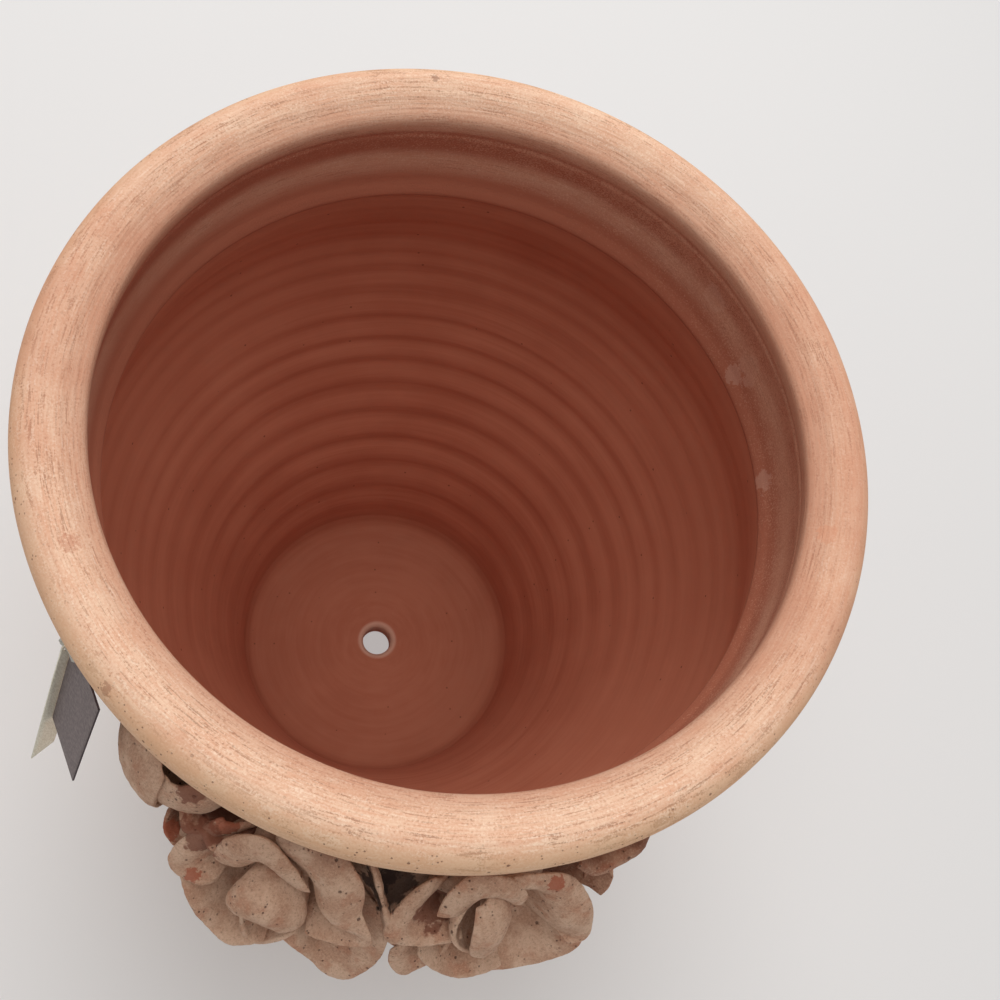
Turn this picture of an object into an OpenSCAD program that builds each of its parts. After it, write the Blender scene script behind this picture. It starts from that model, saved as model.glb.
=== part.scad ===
// A round terracotta planter, thrown on a wheel in two sections and joined under the rim,
// with three hand-modelled clay roses and a few leaves pressed on below the rim at the front.
// A card and a narrow paper label hang from a thread on one of the leaves.
//
// The origin is the centre of the drain hole on the base, +Z is up and -Y is the front.
// Positions around the pot are turns in degrees from the front, positive towards +X.

/* [Pot] */
// Height of the whole pot
pot_h = 322; // [315:1:335]
// Outer diameter of the rim
rim_d = 283; // [278:1:292]
// Width of the flat band on top of the rim
rim_band = 22; // [19:0.5:23]
// Height of the rim's outer edge
rim_edge_h = 24; // [21:1:27]
// How far the band slopes down towards the inside
rim_dip = 5; // [3:1:7]
// Outer diameter of the neck under the rim
neck_d = 264; // [262:1:267]
// Inner diameter of the ledge where the two sections meet
ledge_d = 240; // [238:1:243]
// Distance from the top of the rim down to that ledge
ledge_drop = 54; // [50:1:57]
// Inner diameter of the belly at its widest
belly_d = 266; // [259:1:268]
// Height of the widest place above the base
belly_h = 219; // [205:1:230]
// Inner diameter of the pot where the wall meets the floor
floor_d = 148; // [140:1:156]
// Thickness of the wall at the belly
wall = 7; // [6:0.5:9]
// Thickness of the wall where it meets the base
foot_wall = 13; // [11:1:16]
// Thickness of the floor
floor_t = 12; // [10:1:15]

/* [Throwing rings] */
// Height from one ring to the next inside the pot
ring_pitch = 15.7; // [13:0.1:20]
// How deep the rings are
ring_depth = 0.9; // [0.4:0.1:1.4]

/* [Drain hole] */
// Diameter of the hole through the floor
drain_d = 16; // [14:0.5:18]
// Diameter of the flared mouth of the hole on the inside
drain_mouth_d = 20.5; // [19.5:0.5:24]
// Height of the straight part of the hole
drain_straight = 9; // [7:0.5:9.5]

/* [Roses] */
// Size across the two large roses
rose_size = 76; // [72:1:78]
// Size across the bud on the left
bud_size = 40; // [38:1:42]
// Thickness of a petal
petal_t = 3.2; // [2.8:0.1:3.6]
// Distance from the top of the rim down to the heart of the large roses
rose_drop = 80; // [78:1:84]
// Turn of the middle rose from the front
middle_turn = -12.5; // [-13.5:0.5:-12]
// Turn of the right rose from the front
right_turn = 15; // [14.5:0.5:16]
// Turn of the left bud from the front
left_turn = -31.5; // [-32:0.5:-30.5]
// Angle at which the large roses face upwards
rose_face = 40; // [38:1:42]

/* [Card and label] */
// Width of the card
card_w = 24; // [20:1:24]
// Length of the card
card_l = 66; // [58:1:67]
// Thickness of the card
card_t = 0.8; // [0.5:0.1:1.2]
// Width of the paper label
label_w = 10; // [8:0.5:10.5]
// Length of the paper label
label_l = 101; // [80:1:104]
// Thickness of the paper label
label_t = 0.5; // [0.4:0.1:0.8]
// Diameter of the hole punched in the card
punch_d = 4; // [3.5:0.5:5]
// Diameter of the thread
thread_d = 1.2; // [0.8:0.1:1.4]

/* [Hidden] */
$fn = 96;

rim_r = rim_d / 2;
neck_r = neck_d / 2;
ledge_r = ledge_d / 2;
belly_r = belly_d / 2;
joint_z = pot_h - ledge_drop;
// The ledge overhangs the top of the lower section by this much
ledge_over = 3;
body_top_r = ledge_r + ledge_over;
rim_lip_r = rim_r - rim_band;

buff = [0.84, 0.66, 0.54];
terracotta = [0.55, 0.29, 0.20];
rose_clay = [0.63, 0.49, 0.40];
leaf_clay = [0.58, 0.44, 0.35];
card_grey = [0.36, 0.33, 0.33];
paper_cream = [0.88, 0.86, 0.76];
thread_white = [0.86, 0.85, 0.80];
thread_dark = [0.20, 0.19, 0.17];

// ---- Small helpers ----

function mix(a, b, share) = a + (b - a) * share;
function unit(v) = v / norm(v);
function eased(x) = x * x * (3 - 2 * x);

// A place along a list of numbers or points, by straight steps
function step_along(list, share) =
    let (last = len(list) - 1, x = share * last, i = min(floor(x), last - 1))
    mix(list[i], list[i + 1], x - i);

// A place along a smooth curve through points
function curve_along(p, share) =
    let (last = len(p) - 1, x = share * last, i = min(floor(x), last - 1), f = x - i,
         before = i > 0 ? p[i - 1] : 2 * p[0] - p[1],
         after = i + 2 <= last ? p[i + 2] : 2 * p[last] - p[last - 1])
    0.5 * (2 * p[i] + (p[i + 1] - before) * f
           + (2 * before - 5 * p[i] + 4 * p[i + 1] - after) * pow(f, 2)
           + (3 * p[i] - before - 3 * p[i + 1] + after) * pow(f, 3));

function bezier(a, b, c, d, t) =
    pow(1 - t, 3) * a + 3 * pow(1 - t, 2) * t * b + 3 * (1 - t) * t * t * c + pow(t, 3) * d;

// ---- The thrown wall ----

// Radius inside, without the rings, at height z
function smooth_inside(z) =
    z < belly_h
    ? let (x = max(0, (z - floor_t) / (belly_h - floor_t)))
      mix(floor_d / 2, belly_r, 0.75 * eased(x) + 0.25 * x)
    : mix(belly_r, body_top_r, eased((z - belly_h) / (joint_z - belly_h)));

// The rings fade out towards the floor and the top of the lower section
ring_fade = 25;
first_ring_z = 42;
function ring(z) =
    let (fade = min(1, (z - floor_t) / ring_fade, (joint_z - z) / ring_fade))
    -ring_depth * max(0, fade) * cos(360 * (z - first_ring_z) / ring_pitch);

function inside_r(z) = smooth_inside(z) + ring(z);
function wall_at(z) = mix(foot_wall, wall, min(1, z / (belly_h / 2)));
function outside_r(z) =
    z < belly_h
    ? smooth_inside(max(z, floor_t)) + wall_at(z)
    : mix(belly_r + wall, neck_r, eased((z - belly_h) / (joint_z - belly_h)));

steps_per_ring = 4;
outside_steps = 12;
base_bevel = 2;
floor_round = 6;

module pot_body() {
    inside_step = ring_pitch / steps_per_ring;
    inside_count = floor((joint_z - floor_t - floor_round) / inside_step);
    outside = [for (i = [0 : outside_steps])
               let (z = mix(base_bevel, joint_z, i / outside_steps)) [outside_r(z), z]];
    inside = [for (i = [0 : inside_count])
              let (z = joint_z - i * inside_step) [inside_r(z), z]];
    floor_edge = [[inside_r(floor_t + floor_round) - 1, floor_t + floor_round / 3],
                  [floor_d / 2 - floor_round, floor_t]];
    hole = [[drain_mouth_d / 2, floor_t], [drain_d / 2, drain_straight], [drain_d / 2, 0]];
    base = [[outside_r(0) - base_bevel, 0]];
    color(terracotta)
    rotate_extrude()
    polygon(concat(base, outside, inside, floor_edge, hole));
}

edge_round = 8;
// Rounding of the rim's inner lip, and the angle at which the band runs into it
lip_round = 4;
lip_from = 115;
arc_steps = 5;
neck_hollow = 3;

// Points of a quarter ellipse about centre, from one angle to another
function arc(centre, rx, ry, from, to) =
    [for (i = [0 : arc_steps])
     let (a = mix(from, to, i / arc_steps)) centre + [rx * cos(a), ry * sin(a)]];

module rim_collar() {
    under_z = pot_h - rim_edge_h;
    lip_z = pot_h - rim_dip;
    neck_outside = [[neck_r, joint_z], [neck_r - neck_hollow / 2, mix(joint_z, under_z, 0.5)],
                    [neck_r, under_z - 2], [neck_r + 2, under_z]];
    edge = concat(arc([rim_r - edge_round, under_z + edge_round], edge_round, edge_round, -80, 0),
                  arc([rim_r - edge_round, pot_h - edge_round], edge_round, edge_round, 0, 90));
    lip = arc([rim_lip_r + lip_round, lip_z - lip_round], lip_round, lip_round, lip_from, 180);
    neck_inside = [[mix(rim_lip_r, ledge_r, 0.6), lip_z - 14],
                   [ledge_r + neck_hollow, mix(lip_z, joint_z, 0.6)],
                   [ledge_r + neck_hollow * 0.6, joint_z + 7], [ledge_r, joint_z + 4],
                   [ledge_r, joint_z]];
    color(buff)
    rotate_extrude()
    polygon(concat(neck_outside, edge, lip, neck_inside));
}

// ---- Petals and leaves ----

// A flower stands on the wall with its heart at the wall's inner side, so that its petals
// start where the slanted wall cuts through it: lower down the slope the wall lies deeper.
seat_h = 9;
seat_tilt = 0.45;
inner_pull = 0.42;
across_steps = 12;
along_steps = 8;
lip_t = 0.5;

// Lowest point of a petal in a flower's own frame, at angle a round its axis
function petal_root(a, r, lift) =
    [r * cos(a), r * sin(a), seat_h + lift + seat_tilt * r * sin(a)];

// A point of a petal's middle surface: s runs across it, t from its root to its lip
function petal_point(p, s, t) =
    let (from = p[0], to = p[1], root_r = p[2], lift = p[3], spread = p[4],
         start = step_along(p[5], s), finish = step_along(p[6], s), roll = p[7],
         root = petal_root(mix(from, to, s), root_r, lift), lip = curve_along(p[8], s),
         a = mix((from + to) / 2, mix(from, to, s), spread), size = norm(lip - root),
         out = [cos(a), sin(a), 0], up = [0, 0, 1],
         leave = inner_pull * size * (cos(start) * out + sin(start) * up),
         arrive = roll * size * (cos(finish) * out + sin(finish) * up))
    bezier(root, root + leave, lip - arrive, lip, t);

// A closed skin round a grid of middle points with a thickness at each
function sheet_normal(grid, i, j, rows, cols) =
    let (along = grid[i][min(j + 1, cols)] - grid[i][max(j - 1, 0)],
         across = grid[min(i + 1, rows)][j] - grid[max(i - 1, 0)][j])
    unit(cross(across, along));

module sheet(grid, thick) {
    rows = len(grid) - 1;
    cols = len(grid[0]) - 1;
    w = cols + 1;
    n = (rows + 1) * w;
    side = function (sign) [for (i = [0 : rows], j = [0 : cols])
        let (edge = (i == 0 || i == rows ? lip_t : 1) * (j == cols ? lip_t : 1))
        grid[i][j] + sign * edge * thick / 2 * sheet_normal(grid, i, j, rows, cols)];
    points = concat(side(1), side(-1));
    upper = [for (i = [0 : rows - 1], j = [0 : cols - 1]) let (a = i * w + j)
             each [[a, a + w + 1, a + w], [a, a + 1, a + w + 1]]];
    lower = [for (f = upper) [f[2] + n, f[1] + n, f[0] + n]];
    ends = [for (i = [0 : rows - 1]) let (a = i * w, b = a + cols)
            each [[a, a + w, a + n], [a + w, a + w + n, a + n],
                  [b, b + n, b + w], [b + w, b + n, b + w + n]]];
    sides = [for (j = [0 : cols - 1]) let (a = j, b = rows * w + j)
             each [[a, a + n, a + 1], [a + 1, a + n, a + 1 + n],
                   [b, b + 1, b + n], [b + 1, b + 1 + n, b + n]]];
    polyhedron(points, concat(upper, lower, ends, sides));
}

// One petal. Angles run round the flower from its right side through its upper side; the lip
// is a list of [right, up the slope, height] points, and start and finish are the angles at
// which the clay leaves the root and reaches the lip, from flat outwards (0) over straight
// up (90) to folded inwards (180).
module petal(from, to, root_r, lip, start, finish, roll = 0.4, lift = 0, spread = 1,
             thick = petal_t, scale = 1) {
    curve = [for (q = lip) scale * q];
    shape = [from, to, scale * root_r, lift, spread, start, finish, roll, curve];
    sheet([for (i = [0 : across_steps]) [for (j = [0 : along_steps])
           petal_point(shape, i / across_steps, j / along_steps)]], thick);
}

// Radius of the outer wall at a distance below the top of the rim
function wall_r(drop) = outside_r(min(pot_h - drop, joint_z));

// A flower is seated where the wall is at its heart, or further out where the wall above its
// heart would meet its upper petals
seat_span = 12;
seat_slope = 2.6;
function seat_r(drop, sunk) = max(wall_r(drop), wall_r(drop - seat_span) + seat_slope) - sunk;

// Carries a flower to its place: right is along the rim, up the slope is towards the rim
module on_wall(turn, r, drop, face) {
    rotate([0, 0, turn])
    translate([0, -r, pot_h - drop])
    rotate([90 - face, 0, 0])
    children();
}

rose_sunk = 6.4;
rose_scale = rose_size / 76;
// The right rose sits a little lower than the middle one
right_drop = rose_drop + 2;
pad_r = 20;
pad_depth = 7;
pad_height = 17;
pad_rise = 8;
pad_out = 9;
core_r = 6;
core_tip_r = 3;
core_height = 26;

// The lump of clay that a flower is built on, pressed flat against the wall
module pad(turn, drop, r, across, tall, deep) {
    rotate([0, 0, turn])
    translate([0, -r, pot_h - drop])
    scale([across, deep, tall])
    sphere(1, $fn = 24);
}

module core(height, scale) {
    translate([0, 0, seat_h])
    cylinder(height - seat_h, scale * core_r, scale * core_tip_r, $fn = 24);
}

module on_middle() {
    on_wall(middle_turn, seat_r(rose_drop, rose_sunk), rose_drop, rose_face) children();
}
module on_right() {
    on_wall(right_turn, seat_r(right_drop, rose_sunk), right_drop, rose_face) children();
}

module rose_pad(turn, drop) {
    color(rose_clay)
    pad(turn, drop - pad_rise, seat_r(drop, rose_sunk) + pad_out, rose_scale * pad_r,
        rose_scale * pad_height, pad_depth);
}

module middle_rose_pad() {
    rose_pad(middle_turn, rose_drop);
    color(rose_clay) on_middle() core(core_height, rose_scale);
}
module middle_rose_hood() {
    color(rose_clay) on_middle()
    petal(5, 175, 4.5,
          [[12, -17, 25], [9, -18, 28], [4, -15, 31.5], [-2, -13, 33], [-7, -14, 32.5],
           [-11, -15, 30]],
          [95, 105, 95], [200, 208, 215, 215, 208, 195], roll = 0.55, lift = 3, spread = 0.3,
          scale = rose_scale);
}
module middle_rose_fold() {
    color(rose_clay) on_middle()
    petal(190, 350, 4,
          [[-8, -15, 27], [-5, -24, 27], [-1.5, -30, 26.5], [3, -30, 26.5], [9, -24.5, 26],
           [13, -19, 25]],
          [55, 55], [100, 100], lift = 3, scale = rose_scale);
}
module middle_rose_petal_1() {
    color(rose_clay) on_middle()
    petal(15, 168, 7, [[12, 3, 29], [0, 15, 30], [-11, 19, 30], [-20, 11, 29], [-22, 1, 28]],
          [85, 95, 85], [-10, -30, -30, -20, 0], roll = 0.55, scale = rose_scale);
}
module middle_rose_petal_2() {
    color(rose_clay) on_middle()
    petal(110, 205, 14,
          [[-23, 15, 25], [-32, 3, 26], [-35, -9, 26], [-29, -15, 26], [-21, -14, 27]],
          [25, 25], [0, -10, 0, 0, 20], scale = rose_scale);
}
module middle_rose_petal_3() {
    color(rose_clay) on_middle()
    petal(185, 275, 12,
          [[-31, -14, 24], [-24, -24, 26], [-15, -32, 26], [-6, -35, 27], [4, -28, 27]],
          [5, 5], [40, 50, 60, 60, 60], scale = rose_scale);
}
module middle_rose_petal_4() {
    color(rose_clay) on_middle()
    petal(-62, 105, 11,
          [[15, -18, 27], [30, -16, 27], [37, -8, 28], [29, 1, 28], [27, 12, 28], [17, 22, 28],
           [3, 26, 28], [-7, 25, 27]],
          [30, 90, 100], [60, 40, -10, -35, -35, -30, -20, -10], roll = 0.75, scale = rose_scale);
}
module middle_rose_petal_5() {
    color(rose_clay) on_middle()
    petal(262, 352, 14,
          [[7, -29, 22], [19, -37, 19], [28, -43, 17], [36, -42, 17], [41, -29, 19],
           [42, -16, 21], [39, -5, 20]],
          [5, 5], [20, 10, 0, 0, 10, 20, 20], scale = rose_scale);
}
module middle_rose_petal_6() {
    color(rose_clay) on_middle()
    petal(-25, 50, 18, [[41, -14, 22], [39, -4, 24], [34, 6, 25], [28, 16, 25], [21, 25, 24]],
          [10, 10], [75, 75], thick = petal_t - 0.4, scale = rose_scale);
}
module middle_rose_petal_7() {
    color(rose_clay) on_middle()
    petal(165, 235, 15, [[-35, -2, 16], [-35, -16, 13], [-26, -28, 12], [-15, -35, 13]],
          [0, 0], [20, 20], scale = rose_scale);
}
module middle_rose_petal_8() {
    color(rose_clay) on_middle()
    petal(225, 290, 15, [[-18, -33, 12], [-5, -40, 11], [8, -41, 11], [18, -34, 12]],
          [-5, -5], [10, 10], scale = rose_scale);
}

module right_rose_pad() {
    rose_pad(right_turn, right_drop);
    color(rose_clay) on_right() core(core_height, rose_scale);
}
module right_rose_hood() {
    color(rose_clay) on_right()
    petal(-95, 110, 5.5, [[-7, -20, 27], [-9, -12, 32], [-9, -2, 34], [-8, 7, 31]],
          [80, 80], [200, 200], roll = 0.5, lift = 3, spread = 0.3, scale = rose_scale);
}
module right_rose_fold() {
    color(rose_clay) on_right()
    petal(110, 250, 4, [[-9, 5, 28], [-14, -4, 30], [-12, -13, 30], [-5, -19, 28]],
          [75, 75], [95, 95], lift = 3, scale = rose_scale);
}
module right_rose_petal_1() {
    color(rose_clay) on_right()
    petal(40, 175, 7,
          [[11, 6, 29], [5, 16, 30], [-4, 20, 30], [-12, 20, 30], [-18, 11, 29], [-20, 2, 28]],
          [90, 95, 90], [-20, -25, -25, -25, -20], roll = 0.55, scale = rose_scale);
}
module right_rose_petal_2() {
    color(rose_clay) on_right()
    petal(125, 215, 12,
          [[-20, 15, 24], [-31, 6, 24], [-37, -6, 25], [-30, -12, 25], [-20, -13, 26],
           [-12, -12, 28]],
          [10, 10], [0, -10, -25, -30, -30, -20], scale = rose_scale);
}
module right_rose_petal_3() {
    color(rose_clay) on_right()
    petal(200, 245, 14,
          [[-33, -22, 19], [-33, -32, 17], [-27, -40, 16], [-20, -34, 18], [-15, -25, 21]],
          [-10, -10], [-10, -10], thick = petal_t - 0.4, scale = rose_scale);
}
module right_rose_petal_4() {
    color(rose_clay) on_right()
    petal(205, 290, 12,
          [[-25, -19, 25], [-20, -28, 24], [-12, -35, 24], [-3, -36, 24], [5, -31, 25]],
          [0, 0], [60, 60], scale = rose_scale);
}
module right_rose_petal_5() {
    color(rose_clay) on_right()
    petal(-45, 75, 10,
          [[27, -22, 28], [34, -21, 27], [35, -9, 28], [31, 3, 28], [24, 13, 28], [12, 17, 29],
           [4, 16, 29]],
          [50, 60, 70], [50, 10, -30, -30, -30, -30, -20], roll = 0.55, scale = rose_scale);
}
module right_rose_petal_6() {
    color(rose_clay) on_right()
    petal(265, 335, 14,
          [[2, -37, 22], [13, -39, 21], [24, -38, 21], [33, -32, 22], [37, -22, 22]],
          [-5, -5], [20, 20], scale = rose_scale);
}
module right_rose_petal_7() {
    color(rose_clay) on_right()
    petal(120, 235, 15,
          [[-22, 24, 9], [-34, 18, 10], [-38, 5, 12], [-37, -8, 14], [-35, -24, 12], [-24, -36, 11],
           [-12, -42, 11]],
          [0, 0], [20, 20], scale = rose_scale);
}
module right_rose_petal_8() {
    color(rose_clay) on_right()
    petal(235, 310, 15, [[-6, -43, 11], [10, -45, 10], [25, -40, 10], [36, -27, 12]],
          [-5, -5], [10, 10], scale = rose_scale);
}

bud_scale = bud_size / 40;
bud_face = 55;
bud_drop = rose_drop - 18;
bud_sunk = 10.6;
bud_pad_r = 12;
bud_pad_height = 13;
bud_pad_rise = 4;
module on_left() {
    on_wall(left_turn, seat_r(bud_drop, bud_sunk), bud_drop, bud_face) children();
}

module left_bud_pad() {
    color(rose_clay)
    pad(left_turn, bud_drop - bud_pad_rise, seat_r(bud_drop, bud_sunk) + pad_out,
        bud_scale * bud_pad_r, bud_scale * bud_pad_height, pad_depth - 1);
}
module left_bud_core() {
    color(rose_clay) on_left()
    petal(-90, 250, 3, [[4, -5, 17], [6, 3, 18], [-2, 6, 18], [-6, -1, 17], [-2, -6, 17]],
          [70, 70], [110, 110], scale = bud_scale);
}
module left_bud_petal_1() {
    color(rose_clay) on_left()
    petal(165, 285, 18, [[-1, 14, 25], [-1, 7, 27], [0, 0, 28], [4, -4, 27]],
          [45, -15], [150, 170], roll = 0.7, spread = 0.8, scale = bud_scale);
}
module left_bud_petal_2() {
    color(rose_clay) on_left()
    petal(245, 400, 14, [[2, -4, 25], [7, -4, 26], [11, 1, 27], [12, 9, 24]],
          [-15, -10], [160, 160], roll = 0.7, scale = bud_scale);
}
module left_bud_petal_3() {
    color(rose_clay) on_left()
    petal(160, 250, 8, [[-19, 4, 15], [-20, -7, 14], [-11, -17, 13]],
          [-20, -20], [70, 70], scale = bud_scale);
}
module left_bud_petal_4() {
    color(rose_clay) on_left()
    petal(255, 345, 8, [[-4, -20, 12], [9, -19, 12], [18, -8, 14]],
          [-20, -20], [70, 70], scale = bud_scale);
}

leaf_t = petal_t - 0.4;
leaf_sunk = 5;
leaf_face = 35;
between_drop = rose_drop - 21;
between_sunk = 4.2;
low_left_drop = rose_drop - 4;
low_left_sunk = 7.4;
leaf_right_drop = rose_drop - 25;
leaf_right_sunk = 4.1;
leaf_right_face = 30;
// The two leaves on the left sit either side of half way from the middle rose to the bud
half_way_turn = (middle_turn + left_turn) / 2;
between_turn = half_way_turn;
low_left_turn = half_way_turn - 2;
leaf_right_turn = right_turn + 15.7;

module leaf_between() {
    color(leaf_clay)
    on_wall(between_turn, wall_r(between_drop) - between_sunk, between_drop, leaf_face)
    petal(200, 340, 9, [[-13, -10, 15], [-8, -13, 19], [-3, -11, 17], [2, -14, 19], [7, -12, 17],
                        [13, -10, 18]],
          [20, 20], [0, 0], lift = -leaf_sunk, thick = leaf_t);
}
module leaf_low_left() {
    color(leaf_clay)
    on_wall(low_left_turn, wall_r(low_left_drop) - low_left_sunk, low_left_drop, leaf_face)
    petal(200, 330, 8, [[-12, -5, 19], [-10, -14, 21], [-2, -18, 21], [6, -14, 19]],
          [-10, -10], [75, 75], lift = -leaf_sunk / 2, thick = leaf_t);
}
module leaf_right() {
    color(leaf_clay)
    on_wall(leaf_right_turn, wall_r(leaf_right_drop) - leaf_right_sunk, leaf_right_drop,
            leaf_right_face)
    petal(210, 330, 9, [[-14, -3, 16], [-9, -9, 18], [0, -10, 18], [9, -9, 18], [14, -3, 16]],
          [20, 20], [-10, -10], lift = -leaf_sunk, thick = leaf_t);
}
module leaf_right_curl() {
    color(leaf_clay) on_right()
    petal(-45, 20, 26, [[43, -17, 14], [46, -9, 15], [44, -2, 15], [37, 2, 16], [34, -4, 17]],
          [10, 10], [30, 60, 90, 120], lift = -leaf_sunk, thick = leaf_t);
}

// ---- Card, label and thread ----

// The thread is looped through a hole in a leaf under the rim. Below the knot that closes the
// loop it runs through the label and the card to a second knot. Card and label lean outwards,
// as in the photographed pose.
hitch_turn = -50.5;
hitch_in = 3.9;
hitch_out = 5.6;
hitch_drop = 30.5;
hitch_ring_r = 3.4;
hitch_shift = 1.8;
hitch_steps = 14;
hitch_start = -60;
leaf_hole_d = 3.6;
pierced_width = 13;
pierced_t = 2.6;
pierced_sunk = 0.6;
pierced_edge = 1.6;
hitch_r = max(rim_r - hitch_in, neck_r + hitch_out);
hitch_z = pot_h - hitch_drop;

// A point given from the middle of the thread's loop: along the rim, away from the pot, up
function from_hitch(side, out, up) =
    [side * cos(hitch_turn) + (hitch_r + out) * sin(hitch_turn),
     side * sin(hitch_turn) - (hitch_r + out) * cos(hitch_turn), hitch_z + up];

// A point of the loop, which creeps sideways so that it doesn't meet itself
function loop_point(share) =
    let (a = hitch_start - 360 * share)
    from_hitch(hitch_shift * (share - 0.5), hitch_ring_r * cos(a), hitch_ring_r * sin(a));

loop_knot_at = from_hitch(-0.2, 2.4, -3.5);
label_hole_at = from_hitch(0, 3.9, -8.5);
card_hole_at = from_hitch(5.5, 2.4, -7.4);
end_knot_at = from_hitch(6.1, -0.5, -8.5);
thread_route = concat([for (i = [0 : hitch_steps]) loop_point(i / hitch_steps)],
                      [loop_knot_at, from_hitch(-1.8, 3.4, -6.1),
                       from_hitch(-2.7, 4.3, -7.5), from_hitch(-2, 4.5, -8.3),
                       label_hole_at, from_hitch(2.1, 3.6, -8.3),
                       from_hitch(5, 3.8, -7.1), card_hole_at,
                       from_hitch(5.8, 0.9, -7.8), end_knot_at]);

thread_sides = 8;

// The direction across a route at one of its points, kept steady from ring to ring
function route_along(route, i) =
    unit(route[min(i + 1, len(route) - 1)] - route[max(i - 1, 0)]);
function route_side(route, i, before) =
    let (along = route_along(route, i)) unit(before - (before * along) * along);
function route_sides(route, i = 0, before = [0, 0, 1]) =
    i == len(route) ? []
    : let (side = route_side(route, i, before)) concat([side], route_sides(route, i + 1, side));

module tube(route, d) {
    sides = route_sides(route);
    last = len(route) - 1;
    points = [for (i = [0 : last], k = [0 : thread_sides - 1])
              let (a = 360 * k / thread_sides, side = sides[i])
              route[i] + d / 2 * (cos(a) * side + sin(a) * cross(route_along(route, i), side))];
    walls = [for (i = [0 : last - 1], k = [0 : thread_sides - 1])
             let (next = (k + 1) % thread_sides, a = i * thread_sides)
             each [[a + k, a + thread_sides + k, a + next],
                   [a + next, a + thread_sides + k, a + thread_sides + next]]];
    first_end = [for (k = [0 : thread_sides - 1]) k];
    last_end = [for (k = [thread_sides - 1 : -1 : 0]) last * thread_sides + k];
    polyhedron(points, concat(walls, [first_end, last_end]));
}

module leaf_pierced() {
    root_r = neck_r - pierced_sunk;
    tip_r = hitch_r + pierced_edge;
    steps = 8;
    edge = [for (i = [0 : steps]) let (share = i / steps)
            [pierced_width / 2 * sqrt(1 - 0.8 * pow(share, 3)) * (1 - 0.55 * share),
             -mix(root_r, tip_r, share)]];
    other_edge = [for (i = [steps : -1 : 0]) [-edge[i][0], edge[i][1]]];
    color(leaf_clay)
    rotate([0, 0, hitch_turn])
    translate([0, 0, hitch_z - pierced_t / 2])
    difference() {
        linear_extrude(pierced_t)
        polygon(concat(edge, other_edge));
        translate([0, hitch_ring_r - hitch_r, -1])
        cylinder(pierced_t + 2, d = leaf_hole_d, $fn = 32);
    }
}

module tag_thread() {
    color(thread_white) tube(thread_route, thread_d);
}

loop_knot_d = 2.6;
end_knot_d = 2.4;

module loop_knot() {
    color(thread_dark) translate(loop_knot_at) sphere(d = loop_knot_d, $fn = 24);
}
module end_knot() {
    color(thread_dark) translate(end_knot_at) sphere(d = end_knot_d, $fn = 24);
}

card_turn = -59.7;
card_lean = 16.8;
card_roll = -5.7;
card_hole_in = 5;
card_hole_down = 5;
label_turn = -35;
label_lean = 17.6;
label_roll = 1.6;
label_hole_in = 2.2;
label_hole_down = 3;
label_punch_d = 2.5;

// Hangs something whose hole is at its own origin
module hang(at, turn, lean, roll) {
    translate(at)
    rotate([0, 0, turn])
    rotate([-lean, 0, 0])
    rotate([0, roll, 0])
    children();
}

module tag_card() {
    color(card_grey)
    hang(card_hole_at, card_turn, card_lean, card_roll)
    difference() {
        translate([-card_hole_in, -card_t / 2, card_hole_down - card_l])
        cube([card_w, card_t, card_l]);
        rotate([90, 0, 0])
        cylinder(card_t + 2, d = punch_d, center = true, $fn = 32);
    }
}

module paper_label() {
    color(paper_cream)
    hang(label_hole_at, label_turn, label_lean, label_roll)
    difference() {
        translate([-label_t / 2, -label_hole_in, label_hole_down - label_l])
        cube([label_t, label_w, label_l]);
        rotate([0, 90, 0])
        cylinder(label_t + 2, d = label_punch_d, center = true, $fn = 32);
    }
}

pot_body();
rim_collar();
middle_rose_pad();
middle_rose_hood();
middle_rose_fold();
middle_rose_petal_1();
middle_rose_petal_2();
middle_rose_petal_3();
middle_rose_petal_4();
middle_rose_petal_5();
middle_rose_petal_6();
middle_rose_petal_7();
middle_rose_petal_8();
right_rose_pad();
right_rose_hood();
right_rose_fold();
right_rose_petal_1();
right_rose_petal_2();
right_rose_petal_3();
right_rose_petal_4();
right_rose_petal_5();
right_rose_petal_6();
right_rose_petal_7();
right_rose_petal_8();
left_bud_pad();
left_bud_core();
left_bud_petal_1();
left_bud_petal_2();
left_bud_petal_3();
left_bud_petal_4();
leaf_between();
leaf_low_left();
leaf_right();
leaf_right_curl();
leaf_pierced();
tag_thread();
loop_knot();
end_knot();
tag_card();
paper_label();
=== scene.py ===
# %% [markdown]
# # A terracotta planter with clay roses
#
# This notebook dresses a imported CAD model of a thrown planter. The CAD model is the fixed frame:
# every solid is already in its place, in metres, with the centre of the drain hole at the origin,
# +Z up and -Y towards the front. Each cell below makes one thing that you can see on the real pot
# and prints what it made. The frame is loaded first, because all the rest is measured from it.

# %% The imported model
import math

import bmesh
import bpy
import numpy as np
from mathutils import Matrix, Vector, noise


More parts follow.
